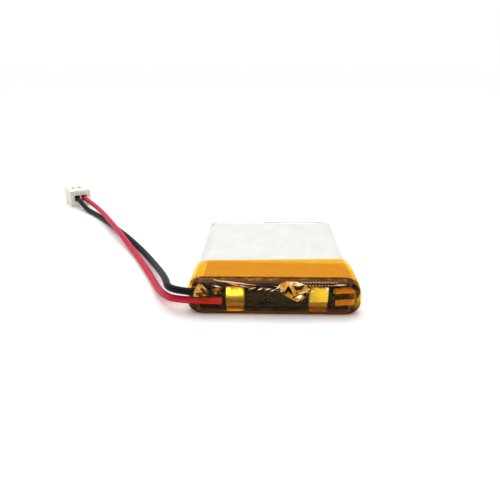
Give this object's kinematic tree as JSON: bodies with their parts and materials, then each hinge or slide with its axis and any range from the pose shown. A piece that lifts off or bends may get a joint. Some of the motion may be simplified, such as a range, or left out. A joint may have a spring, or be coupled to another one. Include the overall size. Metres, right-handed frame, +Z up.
{
  "type": "lipo battery pack",
  "caption": "Flat rechargeable lithium polymer pouch cell with a protection board under amber tape and thin leads ending in a small connector.",
  "frame": {"origin": "centre of the pack's width and length, without its leads and connector, at the level of the tape's underside that it rests on", "axes": "+Z up; X across the width; Y along the length, with the circuit board and the leads at the -Y end and the sealed tail at +Y"},
  "size_m": [0.0792, 0.0785, 0.0062],
  "materials": {
    "pouch_film": "satin film over aluminium foil",
    "copper_foil": "coated copper foil",
    "aluminium_foil": "coated aluminium foil",
    "separator": "porous film",
    "fixing_tape": "thin adhesive tape",
    "nickel": "satin nickel",
    "aluminium_tab": "satin",
    "tab_film": "translucent polypropylene",
    "insulating_paper": "fibre paper",
    "board": "dark green solder mask on glass fibre",
    "copper_pad": "gold flash on copper",
    "chip_body": "moulded epoxy",
    "tinned_pin": "tin plate",
    "resistor": "glazed ceramic chip",
    "capacitor": "ceramic chip",
    "solder": "bright solder",
    "amber_tape": "glossy translucent polyimide",
    "red_insulation": "semi-gloss",
    "black_insulation": "semi-gloss",
    "connector_plastic": "moulded nylon",
    "terminal": "tin plate"
  },
  "bodies": {
    "root": {"pouch_cup": "pouch_film", "pouch_sheet": "pouch_film", "anode_winding": "copper_foil", "cathode_winding": "aluminium_foil", "separator_winding": "separator", "winding_core": "separator", "winding_fixing_tape": "fixing_tape", "anode_tab": "nickel", "cathode_tab": "aluminium_tab", "anode_tab_film": "tab_film", "cathode_tab_film": "tab_film", "insulating_strip": "insulating_paper", "circuit_board": "board", "lead_pads": "copper_pad", "nickel_plate_negative": "nickel", "nickel_plate_positive": "nickel", "protection_chip": "chip_body", "protection_chip_pins": "tinned_pin", "dual_transistor": "chip_body", "dual_transistor_pins": "tinned_pin", "chip_resistors": "resistor", "chip_capacitor": "capacitor", "solder_joint_red": "solder", "stripped_end_red": "tinned_pin", "solder_joint_black": "solder", "stripped_end_black": "tinned_pin", "tape_band": "amber_tape", "tape_second_layer": "amber_tape", "head_tape": "amber_tape", "red_lead": "red_insulation", "black_lead": "black_insulation", "connector_housing": "connector_plastic", "crimp_terminal_red": "terminal", "crimp_terminal_black": "terminal"}
  },
  "joints": []
}
